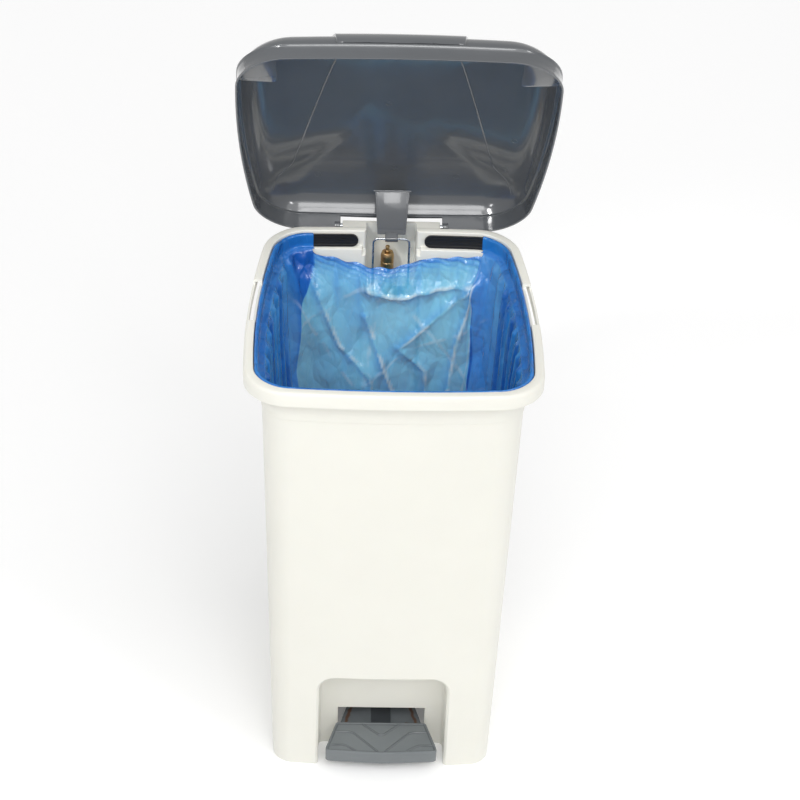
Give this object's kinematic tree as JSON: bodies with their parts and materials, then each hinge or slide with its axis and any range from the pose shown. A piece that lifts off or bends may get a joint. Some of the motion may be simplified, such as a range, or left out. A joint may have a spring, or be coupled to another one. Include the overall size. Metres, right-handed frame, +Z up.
{
  "type": "pedal bin",
  "caption": "Free-standing waste bin with a foot pedal that lifts a hinged dome lid by a push rod; an inner ring holds the bag's mouth.",
  "frame": {"origin": "on the ground under the middle of the open bin, from side to side and from front to back", "axes": "+Z up, +Y towards the hinge at the back, so the pedal faces -Y; +X to the right as seen from the front"},
  "size_m": [0.431, 0.444, 1.0813],
  "materials": {
    "white_plastic": "satin moulded, warm off-white",
    "grey_plastic": "smooth moulded, mid grey",
    "black_plastic": "satin moulded, ribbed",
    "bag_film": "thin translucent blue film",
    "grey_steel": "grey paint, worn to brown at the edges",
    "zinc_steel": "zinc plated",
    "brass": "machined"
  },
  "bodies": {
    "body": {"body": "white_plastic", "bag_ring": "black_plastic", "bag": "bag_film", "rod_cover": "white_plastic", "hinge_pin_left": "zinc_steel", "hinge_pin_right": "zinc_steel", "damper_barrel": "brass", "damper_nut": "brass", "damper_bracket": "zinc_steel", "bracket_screw_left": "zinc_steel", "bracket_screw_right": "zinc_steel", "pedal_axle": "zinc_steel", "axle_hanger_left": "white_plastic", "axle_hanger_right": "white_plastic", "axle_clip_left": "zinc_steel", "axle_clip_right": "zinc_steel"},
    "lid": {"lid_shell": "grey_plastic", "lid_arm": "grey_plastic"},
    "push_rod": {"push_rod": "zinc_steel"},
    "plunger": {"damper_plunger": "brass"},
    "pedal": {"pedal_lever": "grey_steel", "pedal_pad": "grey_plastic", "pad_screw_left": "zinc_steel", "pad_screw_right": "zinc_steel"}
  },
  "joints": [
    {"name": "lid_hinge", "type": "hinge", "parent": "body", "child": "lid", "pos_m": [0, 0.187, 0.69], "axis": [1, 0, 0], "range_deg": [0, 66]},
    {"name": "rod_hinge", "type": "hinge", "parent": "lid", "child": "push_rod", "pos_m": [0, 0.15681, 0.6897], "axis": [1, 0, 0], "range_deg": [-67.55, 0]},
    {"name": "pedal_pivot", "type": "hinge", "parent": "body", "child": "pedal", "pos_m": [0, -0.0445, 0.0437], "axis": [1, 0, 0], "range_deg": [-8.85, 0]},
    {"name": "plunger_slide", "type": "slide", "parent": "body", "child": "plunger", "axis": [0, 0, -1], "range_m": [0, 0.0086]}
  ],
  "couplings": [
    {"joint": "rod_hinge", "follows": "lid_hinge", "ratio": -1.0227},
    {"joint": "pedal_pivot", "follows": "lid_hinge", "ratio": -0.1336},
    {"joint": "plunger_slide", "follows": "lid_hinge", "m_per_rad": 0.007379}
  ]
}
